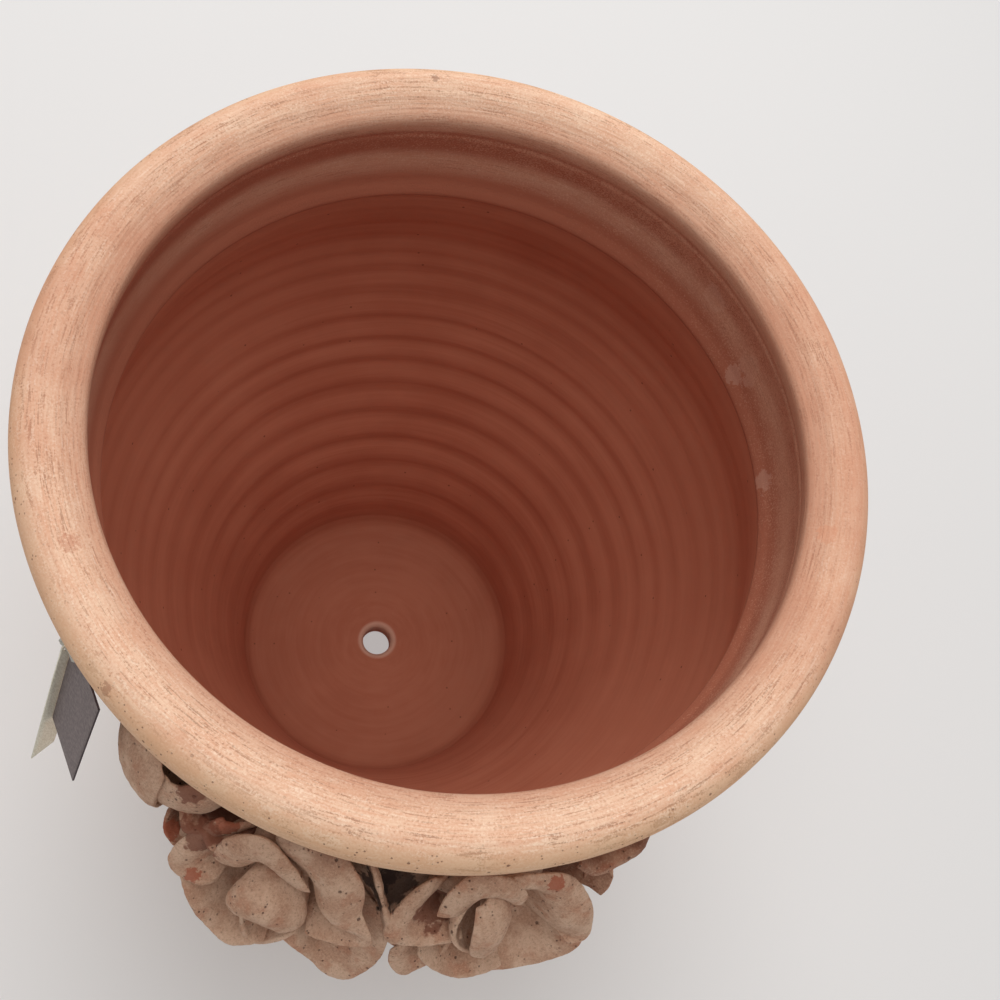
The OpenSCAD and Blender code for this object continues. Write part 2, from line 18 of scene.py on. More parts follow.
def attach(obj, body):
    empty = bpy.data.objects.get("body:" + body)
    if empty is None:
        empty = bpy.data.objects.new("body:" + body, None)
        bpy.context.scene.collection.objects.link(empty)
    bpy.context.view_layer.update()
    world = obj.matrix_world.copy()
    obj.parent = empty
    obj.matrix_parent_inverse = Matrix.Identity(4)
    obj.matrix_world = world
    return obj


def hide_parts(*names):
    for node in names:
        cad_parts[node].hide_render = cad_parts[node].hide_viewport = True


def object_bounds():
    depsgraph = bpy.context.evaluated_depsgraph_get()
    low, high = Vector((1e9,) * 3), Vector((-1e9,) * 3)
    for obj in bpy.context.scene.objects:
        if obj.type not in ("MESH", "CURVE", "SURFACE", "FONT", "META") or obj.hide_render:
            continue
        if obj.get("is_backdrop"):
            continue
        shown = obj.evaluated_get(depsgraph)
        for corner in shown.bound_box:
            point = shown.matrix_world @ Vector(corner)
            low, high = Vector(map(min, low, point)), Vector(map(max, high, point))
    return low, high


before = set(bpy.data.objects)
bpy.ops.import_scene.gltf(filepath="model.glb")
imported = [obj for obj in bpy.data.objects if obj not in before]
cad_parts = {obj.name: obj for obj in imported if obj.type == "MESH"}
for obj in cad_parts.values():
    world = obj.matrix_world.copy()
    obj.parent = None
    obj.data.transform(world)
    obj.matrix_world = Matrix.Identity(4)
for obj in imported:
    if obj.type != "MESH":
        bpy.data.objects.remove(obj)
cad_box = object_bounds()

MM = 0.001

# %% [markdown]
# ## The camera
#
# The pot is seen from above, from close to its front. The lens is given as a share of the
# picture's width: Blender wants millimetres of lens and of sensor, but only their ratio matters.
# The camera's axes are three vectors in the pot's own frame. That is safer than three angles,
# because right, down and forward can each be read off and checked.

# %% The camera
FOCAL_SHARE = 1.08
SENSOR_WIDTH = 36
CAMERA_AT = Vector((-0.0359, -0.1605, 0.6288))
TO_THE_RIGHT = Vector((0.97060, 0.12577, 0.20523))
DOWNWARDS = Vector((0.19410, -0.91319, -0.35834))
FORWARDS = Vector((0.14236, 0.38764, -0.91075))

scene = bpy.context.scene
lens = bpy.data.cameras.new("camera")
lens.sensor_width = SENSOR_WIDTH
lens.lens = lens.sensor_width * FOCAL_SHARE
camera = bpy.data.objects.new("camera", lens)
scene.collection.objects.link(camera)
axes = Matrix((TO_THE_RIGHT, -DOWNWARDS, -FORWARDS)).transposed().to_4x4()
camera.matrix_world = Matrix.Translation(CAMERA_AT) @ axes
scene.camera = camera
print("camera", round(CAMERA_AT.z, 3), "m up, lens", round(lens.lens, 2), "mm")

# %% [markdown]
# ## Arithmetic on shader sockets
#
# Most of the finish on this pot is arithmetic: how far a point is from the axis, how high it is,
# how much of one clay shows over another. Written as nodes that is hard to read, so one small
# class wraps a socket and lets Python's operators add the Math nodes. Any other kind of node
# comes from its method `node`: first the node's settings, then what goes into its sockets.

# %% A socket that can be used in sums
class Wire:
    """A node's output socket; sums on it add Math nodes to the same tree."""

    def __init__(self, tree, socket=None):
        self.tree = tree
        self.socket = socket

    def node(self, kind, settings=None, inputs=None, output=0):
        made = self.tree.nodes.new(kind)
        for name, value in (settings or {}).items():
            setattr(made, name, value)
        for name, value in (inputs or {}).items():
            if isinstance(value, Wire):
                self.tree.links.new(value.socket, made.inputs[name])
            else:
                made.inputs[name].default_value = value
        return Wire(self.tree, made.outputs[output] if made.outputs else None)

    def math(self, operation, *values):
        return self.node("ShaderNodeMath", {"operation": operation}, dict(enumerate(values)))

    def __add__(self, other): return self.math("ADD", self, other)
    def __radd__(self, other): return self.math("ADD", other, self)
    def __sub__(self, other): return self.math("SUBTRACT", self, other)
    def __rsub__(self, other): return self.math("SUBTRACT", other, self)
    def __mul__(self, other): return self.math("MULTIPLY", self, other)
    def __rmul__(self, other): return self.math("MULTIPLY", other, self)
    def __truediv__(self, other): return self.math("DIVIDE", self, other)
    def __rtruediv__(self, other): return self.math("DIVIDE", other, self)

    def absolute(self):
        return self.math("ABSOLUTE", self)

    def at_most(self, limit):
        return self.math("MINIMUM", self, limit)

    def straight(self, low, high):
        """0 at low, 1 at high, and a straight line from one to the other."""
        return self.node("ShaderNodeMapRange", None,
                         {"Value": self, "From Min": low, "From Max": high})

    def between(self, low, high):
        """0 below low, 1 above high, and a smooth step from one to the other."""
        return self.node("ShaderNodeMapRange", {"interpolation_type": "SMOOTHSTEP"},
                         {"Value": self, "From Min": low, "From Max": high})

    def scaled(self, x, y, z):
        return self.node("ShaderNodeVectorMath", {"operation": "MULTIPLY"}, {0: self, 1: (x, y, z)})


def tint(factor, first, second):
    """Colour `first` where factor is 0 and `second` where it is 1."""
    return factor.node("ShaderNodeMix", {"data_type": "RGBA"}, {0: factor, 6: first, 7: second}, 2)


def srgb(red, green, blue):
    """A colour as a paint program gives it, turned into the linear light that a shader wants."""
    def linear(part):
        share = part / 255
        return share / 12.92 if share <= 0.04045 else ((share + 0.055) / 1.055) ** 2.4
    return (linear(red), linear(green), linear(blue), 1)


print("terracotta is", [round(part, 3) for part in srgb(150, 82, 58)[:3]], "in linear light")

# %% [markdown]
# ## Where a point is on the pot
#
# A thrown pot is turned round an axis, so its marks run round it: brush lines, rings, the worn
# edge. `Place` gives a material the position on the pot, the distance from the axis, and a pair of
# round coordinates that have no seam. Noise that is slow round the pot and fast across it makes
# brush lines; the same noise in plain coordinates makes grain and pits. The clay reflects little,
# so all the finishes share one low level of shine.

# %% Coordinates for the clay
MIDDLE_OF_THE_WALL = 0.135  # the radius at which the length of a brush line is true
DULL_SHINE = 0.25


class Place:
    def __init__(self, material):
        material.use_nodes = True
        self.tree = material.node_tree
        self.tree.nodes.clear()
        start = Wire(self.tree)
        self.point = start.node("ShaderNodeTexCoord", output="Object")
        self.x, self.y, self.z = [
            start.node("ShaderNodeSeparateXYZ", None, {0: self.point}, part) for part in range(3)]
        self.radius = start.math("SQRT", self.x * self.x + self.y * self.y)

    def grain(self, size, detail=3, roughness=0.6, point=None):
        """Noise whose lumps are about `size` metres across, from 0 to 1."""
        return (point or self.point).node(
            "ShaderNodeTexNoise", None, {"Vector": point or self.point, "Scale": 1 / size,
                                         "Detail": detail, "Roughness": roughness})

    def lines(self, across, length, along=None, detail=4, roughness=0.65):
        """Noise in lines round the pot: `across` metres wide and `length` metres long."""
        turn_x, turn_y = self.x / self.radius, self.y / self.radius
        turns = MIDDLE_OF_THE_WALL / length
        rise = (self.radius if along is None else along) / across
        point = self.x.node("ShaderNodeCombineXYZ", None,
                            {0: turn_x * turns, 1: turn_y * turns, 2: rise})
        return self.grain(1, detail, roughness, point)

    def pits(self, spacing, share, point=None):
        """1 in small round pits about `spacing` metres apart, `share` of that across."""
        cell = (point or self.point).node(
            "ShaderNodeTexVoronoi", {"feature": "F1"},
            {"Vector": point or self.point, "Scale": 1 / spacing, "Randomness": 1})
        return 1 - cell.between(share * 0.6, share)

    def spot(self, centre, size, ragged=0.35):
        """1 in a ragged patch round a point of the pot, 0 outside it."""
        away = self.point.node("ShaderNodeVectorMath", {"operation": "DISTANCE"},
                               {0: self.point, 1: centre}, "Value")
        wander = (self.grain(size * 0.6) - 0.5) * (2 * ragged * size)
        return 1 - (away + wander).between(size * 0.75, size)


def finish_of(name, place, colour, roughness, bump, strength, depth, sheen=0.0):
    """Joins colour, roughness and relief into one surface."""
    relief = place.point.node("ShaderNodeBump", None,
                              {"Strength": strength, "Distance": depth, "Height": bump}, "Normal")
    shader = place.point.node("ShaderNodeBsdfPrincipled", None,
                              {"Base Color": colour, "Roughness": roughness, "Normal": relief,
                               "Specular IOR Level": DULL_SHINE, "Sheen Weight": sheen})
    shader.node("ShaderNodeOutputMaterial", None, {"Surface": shader})
    print(name, "has", len(place.tree.nodes), "nodes")


def new_finish(name):
    material = bpy.data.materials.new(name)
    return material, Place(material)

# %% [markdown]
# ## The thread
#
# A cord is settled before the looks: where it starts, how long it is and what hangs on it. Here it
# is a short tie: a loop through a hole in a leaf under the rim, a knot that closes the loop, then
# a few millimetres through the paper label and the card to a second knot. The points are the same
# as in the CAD source, so they are given the same way: in millimetres along the rim, away from the
# pot and up, from the middle of the loop. A smooth line runs through them all.

# %% The thread's route
HITCH_TURN = math.radians(-50.5)
HITCH_RADIUS = 137.6
HITCH_HEIGHT = 291.5
LOOP_RADIUS, LOOP_SHIFT, LOOP_STEPS, LOOP_START = 3.4, 1.8, 14, math.radians(-60)
THREAD = 1.2 * MM


def from_hitch(side, out, up):
    """A point in metres, from millimetres along the rim, away from the pot and up."""
    reach = HITCH_RADIUS + out
    return Vector((side * math.cos(HITCH_TURN) + reach * math.sin(HITCH_TURN),
                   side * math.sin(HITCH_TURN) - reach * math.cos(HITCH_TURN),
                   HITCH_HEIGHT + up)) * MM


def loop_point(share):
    angle = LOOP_START - 2 * math.pi * share
    return from_hitch(LOOP_SHIFT * (share - 0.5), LOOP_RADIUS * math.cos(angle),
                      LOOP_RADIUS * math.sin(angle))


loop_knot_at = from_hitch(-0.2, 2.4, -3.5)
label_hole_at = from_hitch(0, 3.9, -8.5)
card_hole_at = from_hitch(5.5, 2.4, -7.4)
end_knot_at = from_hitch(6.1, -0.5, -8.5)
route = [loop_point(step / LOOP_STEPS) for step in range(LOOP_STEPS + 1)]
route += [loop_knot_at, from_hitch(-1.8, 3.4, -6.1), from_hitch(-2.7, 4.3, -7.5),
          from_hitch(-2, 4.5, -8.3), label_hole_at, from_hitch(2.1, 3.6, -8.3),
          from_hitch(5, 3.8, -7.1), card_hole_at, from_hitch(5.8, 0.9, -7.8), end_knot_at]


def smooth_line(points, steps):
    """A line through all the points, with `steps` short pieces from each to the next."""
    line = []
    for i in range(len(points) - 1):
        before = points[i - 1] if i else 2 * points[0] - points[1]
        after = points[i + 2] if i + 2 < len(points) else 2 * points[-1] - points[-2]
        a, b = points[i], points[i + 1]
        for step in range(steps):
            t = step / steps
            bend = 2 * before - 5 * a + 4 * b - after
            twist = 3 * a - before - 3 * b + after
            line.append(0.5 * (2 * a + (b - before) * t + bend * t ** 2 + twist * t ** 3))
    return line + [points[-1]]


thread_line = smooth_line(route, 4)
thread_length = sum((b - a).length for a, b in zip(thread_line, thread_line[1:]))
print("the thread is", round(thread_length / MM, 1), "mm long")

# %% [markdown]
# The thread is two plies twisted round each other. Seen across, it isn't round but has two lobes,
# and the lobes turn along it. So the tube that is swept along the line swells and shrinks round
# its section, and its faces keep that in the silhouette, which a bump in the finish couldn't do.

# %% Sweeping a thread along a line
LOBE = 0.14  # how much of the radius comes and goes between the plies


def link(name, mesh, body, slot, material, *nodes):
    """Puts a mesh in the scene as a piece: it rides on a body and stands for CAD nodes."""
    piece = bpy.data.objects.new(name, mesh)
    scene.collection.objects.link(piece)
    mesh.materials.append(material)
    mesh.shade_smooth()
    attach(piece, body)
    if nodes:
        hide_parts(*nodes)
    return piece


def swept(name, line, radius, plies=2, sides=12, pitch=2.4 * MM):
    """A closed tube along a line, with as many twisted plies as asked for."""
    verts, faces = [], []
    side = Vector((0, 0, 1))
    gone = 0
    for i, point in enumerate(line):
        along = (line[min(i + 1, len(line) - 1)] - line[max(i - 1, 0)]).normalized()
        side = (side - side.dot(along) * along).normalized()
        other = along.cross(side)
        gone += (point - line[max(i - 1, 0)]).length
        for k in range(sides):
            angle = 2 * math.pi * k / sides
            swell = 1 - LOBE + LOBE * math.cos(plies * (angle - 2 * math.pi * gone / pitch))
            outwards = math.cos(angle) * side + math.sin(angle) * other
            verts.append(point + radius * swell * outwards)
    for i in range(len(line) - 1):
        for k in range(sides):
            a, b = i * sides + k, i * sides + (k + 1) % sides
            faces.append((a, b, b + sides, a + sides))
    faces.append(tuple(reversed(range(sides))))
    faces.append(tuple(range(len(verts) - sides, len(verts))))
    mesh = bpy.data.meshes.new(name)
    mesh.from_pydata(verts, [], faces)
    return mesh


# %% [markdown]
# The thread is a fine cotton: pale fibres with a little grey in the grooves. The two knots are
# darker, because knots are what fingers touch. Each knot is a trefoil, the simplest curve that
# is really tied, swept with the same twisted tube and scaled until it fits the knot's size.

# %% Thread finishes
def thread_finish(name, pale, grey):
    material, place = new_finish(name)
    fibre = place.grain(0.25 * MM, 4)
    colour = tint(fibre, srgb(*grey), srgb(*pale))
    finish_of(name, place, colour, 0.85 - 0.1 * fibre, fibre, 0.5, 0.1 * MM, sheen=0.3)
    return material


white_thread = thread_finish("white thread", (222, 220, 210), (150, 146, 136))
knotted_thread = thread_finish("knotted thread", (84, 80, 74), (38, 36, 33))

# %% The thread and its knots
KNOT_STEPS = 72
KNOT_THREAD = 0.5 * MM
KNOT_ROOM = 0.45 * MM  # left free round the trefoil for the thread's own thickness
TREFOIL_DEPTH = 1.2

thread = link("thread", swept("thread", thread_line, THREAD / 2), "thread", "thread",
              white_thread, "tag_thread")


def knot(name, centre, size, node):
    """A small overhand knot: a trefoil of thread, pulled tight."""
    line = []
    for step in range(KNOT_STEPS + 1):
        t = 2 * math.pi * step / KNOT_STEPS
        line.append(Vector((math.sin(t) + 2 * math.sin(2 * t), math.cos(t) - 2 * math.cos(2 * t),
                            -TREFOIL_DEPTH * math.sin(3 * t))))
    reach = max(point.length for point in line)
    line = [centre + point * (size / 2 - KNOT_ROOM) / reach for point in line]
    return link(name, swept(name, line, KNOT_THREAD, sides=10, pitch=1.5 * MM), "thread",
                "knotted_thread", knotted_thread, node)


loop_knot = knot("loop_knot_tied", loop_knot_at, 2.6 * MM, "loop_knot")
end_knot = knot("end_knot_tied", end_knot_at, 2.4 * MM, "end_knot")

# %% [markdown]
# ## Card and label
#
# Both are flat sheets with a hole near one corner, so one helper makes them. Rays run from the
# hole to the edge of the sheet, through every corner, and the strips between them are closed on
# both sides, round the hole and round the edge. That leaves enough points to bend the sheet a
# little and to fray its edge, which a plain box doesn't have. Faces that are made by counting can
# come out inside out, so a second helper turns them all outwards.

# %% A punched sheet
RAYS, STRIPS = 96, 14
WORN_EDGE = 0.8  # a handled edge is pressed thinner than the sheet
FRAY_WAVE = 0.9  # frayed lobes per millimetre
FLAT, BEYOND = 1e-9, 1e9  # a ray along a side never meets it


def outward_mesh(name, verts, faces):
    mesh = bpy.data.meshes.new(name)
    mesh.from_pydata(verts, [], faces)
    turned = bmesh.new()
    turned.from_mesh(mesh)
    bmesh.ops.recalc_face_normals(turned, faces=turned.faces[:])
    turned.to_mesh(mesh)
    turned.free()
    return mesh


def hanging(at, turn, lean, roll):
    """The place of something that hangs by a hole at its own origin."""
    return (Matrix.Translation(at) @ Matrix.Rotation(math.radians(turn), 4, "Z")
            @ Matrix.Rotation(-math.radians(lean), 4, "X")
            @ Matrix.Rotation(math.radians(roll), 4, "Y"))


def punched_sheet(name, left, right, bottom, top, hole, thick, bend, fray, place, swap=False):
    """A thin sheet round a hole at the origin; all sizes in millimetres."""
    corners = [math.atan2(z, x)
               for x, z in ((right, top), (left, top), (left, bottom), (right, bottom))]
    plain = [2 * math.pi * k / RAYS - math.pi for k in range(RAYS)]
    angles = sorted(set(plain + corners))
    verts = []
    for face in (1, -1):
        for angle in angles:
            c, s = math.cos(angle), math.sin(angle)
            reach = min((right if c > 0 else left) / c if abs(c) > FLAT else BEYOND,
                        (top if s > 0 else bottom) / s if abs(s) > FLAT else BEYOND)
            for step in range(STRIPS + 1):
                share = step / STRIPS
                x, z = (hole / 2 * (1 - share) + reach * share) * Vector((c, s))
                if step == STRIPS:
                    ragged = fray * (noise.noise((x * FRAY_WAVE, z * FRAY_WAVE, 3)) - 0.5)
                    x, z = x + ragged * c, z + ragged * s
                wear_and_shade = WORN_EDGE if step in (0, STRIPS) else 1
                y = bend(x, z) + face * wear_and_shade * thick / 2
                local = Vector((y, x, z)) if swap else Vector((x, y, z))
                verts.append(place @ (local * MM))
    row, count = STRIPS + 1, len(angles)
    half = row * count
    faces, edge = [], []
    for a in range(count):
        b = (a + 1) % count
        for step in range(STRIPS):
            quad = (a * row + step, a * row + step + 1, b * row + step + 1, b * row + step)
            faces.append(quad)
            faces.append(tuple(half + i for i in reversed(quad)))
        for step, flip in ((0, False), (STRIPS, True)):
            quad = (a * row + step, b * row + step, half + b * row + step, half + a * row + step)
            edge.append(quad[::-1] if flip else quad)
    return outward_mesh(name, verts, faces + edge), len(faces)


# %% [markdown]
# The card is a dark grey board, slightly mottled, with a darker cut edge. The label is a strip of
# cream paper with visible fibres, soft and a little frayed. Both finishes are noise at the size
# of the fibres: fine and even for pressed board, drawn out along the strip for handmade paper.

# %% Card and label finishes
def card_finish(name, light, dark, grain_size):
    material, place = new_finish(name)
    mottle = place.grain(grain_size, 5)
    fleck = place.pits(1.6 * MM, 0.12)
    colour = tint(mottle.between(0.3, 0.7), srgb(*dark), srgb(*light))
    colour = tint(fleck * 0.5, colour, srgb(*dark))
    finish_of(name, place, colour, 0.62 + 0.2 * mottle, mottle, 0.25, 0.1 * MM)
    return material


def paper_finish(name):
    material, place = new_finish(name)
    fibres = place.grain(0.5 * MM, 6, 0.7, place.point.scaled(1, 1, 0.15))
    blotch = place.grain(6 * MM, 2)
    colour = tint(fibres.between(0.35, 0.65), srgb(226, 220, 200), srgb(250, 246, 230))
    colour = tint(blotch.between(0.5, 0.8) * 0.35, colour, srgb(206, 198, 168))
    finish_of(name, place, colour, 0.9 - 0.1 * fibres, fibres, 0.5, 0.15 * MM)
    return material


card_board = card_finish("grey card", (134, 122, 120), (104, 92, 92), 1.2 * MM)
card_edge = card_finish("cut edge of the card", (78, 66, 70), (50, 42, 46), 0.6 * MM)
label_paper = paper_finish("fibrous paper")

# %% [markdown]
# The two hang from the thread's own points, turned and leaning as they fell. Board hardly bends,
# so the card bows by a quarter of a millimetre over its length. Paper does, so the label ripples
# more the further it is from its hole.

# %% The card and the label
CARD_WIDE, CARD_LONG, CARD_THICK = 24, 66, 0.8
CARD_HOLE, CARD_HOLE_IN = 4, 5
CARD_TURN, CARD_LEAN, CARD_ROLL = -59.7, 16.8, -5.7
LABEL_WIDE, LABEL_LONG, LABEL_THICK = 10, 101, 0.5
LABEL_HOLE, LABEL_HOLE_IN, LABEL_HOLE_DOWN = 2.5, 2.2, 3
LABEL_TURN, LABEL_LEAN, LABEL_ROLL = -35, 17.6, 1.6
LABEL_FRAY = 0.5


def card_bow(x, z):
    return 0.25 * (z / 60) ** 2


def label_ripple(x, z):
    return 0.35 * math.sin(z / 14) * min(1, -z / 30 if z < 0 else 0)


card_mesh, card_faces = punched_sheet(
    "card", -CARD_HOLE_IN, CARD_WIDE - CARD_HOLE_IN, CARD_HOLE_IN - CARD_LONG, CARD_HOLE_IN,
    CARD_HOLE, CARD_THICK * 0.96, card_bow, 0.0,
    hanging(card_hole_at, CARD_TURN, CARD_LEAN, CARD_ROLL))
link("card", card_mesh, "card", "card", card_board, "tag_card")
card_mesh.materials.append(card_edge)
for face in list(card_mesh.polygons)[card_faces:]:
    face.material_index = 1
    face.use_smooth = False

label_mesh, _ = punched_sheet(
    "label", -LABEL_HOLE_IN, LABEL_WIDE - LABEL_HOLE_IN, LABEL_HOLE_DOWN - LABEL_LONG,
    LABEL_HOLE_DOWN, LABEL_HOLE, LABEL_THICK * 0.9, label_ripple, LABEL_FRAY,
    hanging(label_hole_at, LABEL_TURN, LABEL_LEAN, LABEL_ROLL), swap=True)
link("label", label_mesh, "label", "paper", label_paper, "paper_label")
print("card", len(card_mesh.polygons), "faces, label", len(label_mesh.polygons), "faces")

# %% [markdown]
# ## The thrown pot
#
# The pot was thrown in two sections. Both are turned shapes, so both come from a profile that is
# spun round the axis. The CAD solid has the same profile in coarse steps; here it gets a point
# every millimetre, and the small unevenness that hands leave: throwing rings that aren't quite
# level or equally deep, and a rim that isn't quite round. Only inside faces carry the rings.

# %% Profiles
POT_HEIGHT, RIM_RADIUS, NECK_RADIUS, LEDGE_RADIUS = 322, 141.5, 132, 120
BELLY_RADIUS, BELLY_HEIGHT, FLOOR_RADIUS, FLOOR = 133, 219, 74, 12
WALL, FOOT_WALL, JOINT, BODY_TOP_RADIUS = 7, 13, 268, 123
RIM_LIP_RADIUS, UNDER_RIM, LIP_HEIGHT = 119.5, 298, 317
DRAIN_RADIUS, DRAIN_MOUTH_RADIUS, DRAIN_STRAIGHT = 8, 10.25, 9
SEGMENTS = 384
# Heights at which a throwing ring of the far wall stands out furthest
RING_CRESTS = [12, 35, 58, 79, 96, 115, 132, 147, 160, 173.5, 191.5, 204, 215, 229, 243, 257, 272]


def eased(x):
    return x * x * (3 - 2 * x)


def smooth_inside(z):
    if z < BELLY_HEIGHT:
        x = max(0, (z - FLOOR) / (BELLY_HEIGHT - FLOOR))
        return FLOOR_RADIUS + (BELLY_RADIUS - FLOOR_RADIUS) * (0.75 * eased(x) + 0.25 * x)
    x = (z - BELLY_HEIGHT) / (JOINT - BELLY_HEIGHT)
    return BELLY_RADIUS + (BODY_TOP_RADIUS - BELLY_RADIUS) * eased(x)


def outside(z):
    if z < BELLY_HEIGHT:
        wall = FOOT_WALL + (WALL - FOOT_WALL) * min(1, z / (BELLY_HEIGHT / 2))
        return smooth_inside(max(z, FLOOR)) + wall
    x = (z - BELLY_HEIGHT) / (JOINT - BELLY_HEIGHT)
    return BELLY_RADIUS + WALL + (NECK_RADIUS - BELLY_RADIUS - WALL) * eased(x)


def arc(r, z, across, up, start, end, steps=14):
    angles = [math.radians(start + (end - start) * i / steps) for i in range(steps + 1)]
    return [(r + across * math.cos(a), z + up * math.sin(a)) for a in angles]


def evenly(points, step):
    """The same closed or open line with a point about every `step` millimetres."""
    result = []
    for (r0, z0), (r1, z1) in zip(points, points[1:]):
        count = max(1, round(math.hypot(r1 - r0, z1 - z0) / step))
        result += [(r0 + (r1 - r0) * i / count, z0 + (z1 - z0) * i / count) for i in range(count)]
    return result + [points[-1]]


def through(points, step):
    line = smooth_line([Vector((r, z, 0)) for r, z in points], 8)
    return evenly([(p.x, p.y) for p in line], step)


# %% [markdown]
# The lower section's profile goes once round the wall: up the drain hole, over its worn mouth,
# across the floor, round the corner and up the inside, then back down the outside to the foot.
# The inside gets a point every millimetre, since the rings are cut into it. The outside has less
# to show, so its points stand further apart.

# %% The lower section's profile
body_profile = arc(DRAIN_RADIUS + 0.8, 0.8, 0.8, 0.8, 270, 180, 5)
body_profile += evenly([(DRAIN_RADIUS, 1), (DRAIN_RADIUS, DRAIN_STRAIGHT - 0.8)], 1)
body_profile += arc(DRAIN_MOUTH_RADIUS + 0.6, FLOOR - 2.8, 2.9, 2.8, 175, 95, 8)
body_profile += evenly([(DRAIN_MOUTH_RADIUS + 1.5, FLOOR), (FLOOR_RADIUS - 9, FLOOR)], 1.5)
body_profile += arc(FLOOR_RADIUS - 8, FLOOR + 8, 8, 8, 275, 345, 8)
wall_heights = np.arange(FLOOR + 7.5, JOINT - 0.4, 1.0)
body_profile += evenly([(smooth_inside(z), z) for z in wall_heights], 1.0)
body_profile += [(BODY_TOP_RADIUS, JOINT - 0.1), (BODY_TOP_RADIUS + 3, JOINT - 0.1),
                 (NECK_RADIUS - 0.4, JOINT - 0.1)]
body_profile += [(outside(z), z) for z in np.arange(JOINT - 1, 2.5, -2.0)]
body_profile += arc(outside(0) - 2, 2, 2, 2, 0, -90, 6)
body_profile += evenly([(outside(0) - 3, 0), (DRAIN_RADIUS + 2, 0)], 5)
print("the lower section's profile has", len(body_profile), "points")

# %% [markdown]
# The rim's profile starts outside at the joint, swells under the rim, rolls over its edge, dips
# slightly inwards to the lip and goes down the inside of the neck to the ledge. The ledge is the
# step that was left where the two sections were joined, and it is rounded by the wet sponge.

# %% The rim's profile
lip, ledge = RIM_LIP_RADIUS, LEDGE_RADIUS
collar_profile = through([(NECK_RADIUS, JOINT), (NECK_RADIUS - 1, (JOINT + UNDER_RIM) / 2),
                          (NECK_RADIUS - 0.2, UNDER_RIM - 4), (NECK_RADIUS + 1.2, UNDER_RIM - 0.7),
                          (RIM_RADIUS - 5, UNDER_RIM + 0.9)], 1.0)
collar_profile += arc(RIM_RADIUS - 8, UNDER_RIM + 9, 8, 8.4, -62, 0)
collar_profile += arc(RIM_RADIUS - 9, POT_HEIGHT - 9, 9, 9, 8, 84)
collar_profile += through([(RIM_RADIUS - 9.5, POT_HEIGHT - 0.1),
                           (RIM_RADIUS - 14, POT_HEIGHT - 1.7),
                           (lip + 5, LIP_HEIGHT + 1.3), (lip + 2.4, LIP_HEIGHT - 0.3)], 0.8)
collar_profile += arc(lip + 4, LIP_HEIGHT - 4, 4, 4, 120, 180, 8)
collar_profile += through([(lip + 0.1, 311.5), (lip + 0.9, 308), (lip + 2.0, 305.2),
                           (lip + 1.9, 303), (lip + 2.7, 299), (ledge + 3.3, 291),
                           (ledge + 3.1, 283), (ledge + 2.2, 277), (ledge + 0.8, 273.6),
                           (ledge + 0.05, 271.2), (ledge + 0.3, 269.4), (ledge + 1.3, 268.1)], 0.8)
collar_profile += evenly([(ledge + 2.5, JOINT), (NECK_RADIUS - 1, JOINT)], 2)
print("the rim's profile has", len(collar_profile), "points")

# %% [markdown]
# A profile is spun by repeating its points round the axis and joining neighbours with four-sided
# faces. Before that a function may move each point, which is where the maker's hands come in.
# Their unevenness is a sum of a few slow waves with random phases. The random numbers start from
# a fixed seed, so the pot is the same pot at every run.

# %% Spinning a profile
chance = np.random.default_rng(7)


def waves(turn, orders, size):
    """A slow unevenness round the pot, as a sum of a few waves."""
    total = np.zeros_like(turn)
    for order in orders:
        total += np.cos(order * turn + chance.uniform(0, 2 * math.pi)) * chance.uniform(0.4, 1)
    return size * total / len(orders)


def spun(name, profile, move):
    turn = np.linspace(0, 2 * math.pi, SEGMENTS, endpoint=False)
    profile = np.array(profile)
    r = np.repeat(profile[:, :1], SEGMENTS, axis=1)
    z = np.repeat(profile[:, 1:], SEGMENTS, axis=1)
    r, z = move(np.repeat(turn[None, :], len(profile), axis=0), r, z)
    points = np.stack([r * np.cos(turn), r * np.sin(turn), z], axis=2).reshape(-1, 3) * MM
    faces = []
    for i in range(len(profile)):
        after = (i + 1) % len(profile)
        for k in range(SEGMENTS):
            turned = (k + 1) % SEGMENTS
            faces.append((i * SEGMENTS + k, after * SEGMENTS + k,
                          after * SEGMENTS + turned, i * SEGMENTS + turned))
    return outward_mesh(name, points.tolist(), faces)


# %% [markdown]
# A throwing ring has a gentle upper side and a steep under side, so the rings are a cosine whose
# phase is bent: from a crest upwards it starts slowly. They are deepest in the lower half at the
# back, and fade at the floor and towards the ledge. The floor has a faint swirl instead, and the
# outside only the fine marks of a rib, which are cut inwards to keep the pot to its size.

# %% The lower section
RING_DEPTH, RING_BEND = 1.3, 1.2
RING_SHARE_AT_THE_SIDES, RING_GAIN_AT_THE_BACK = 0.42, 0.6
SWIRL_DEPTH, RIB_DEPTH, RIB_CUT = 0.09, 0.12, 0.25
RING_HEIGHTS = [18, 40, 70, 100, 150, 175, 200, 245, 262]
RING_STRENGTHS = [0, 0.35, 0.45, 0.5, 0.42, 0.3, 0.2, 0.12, 0]


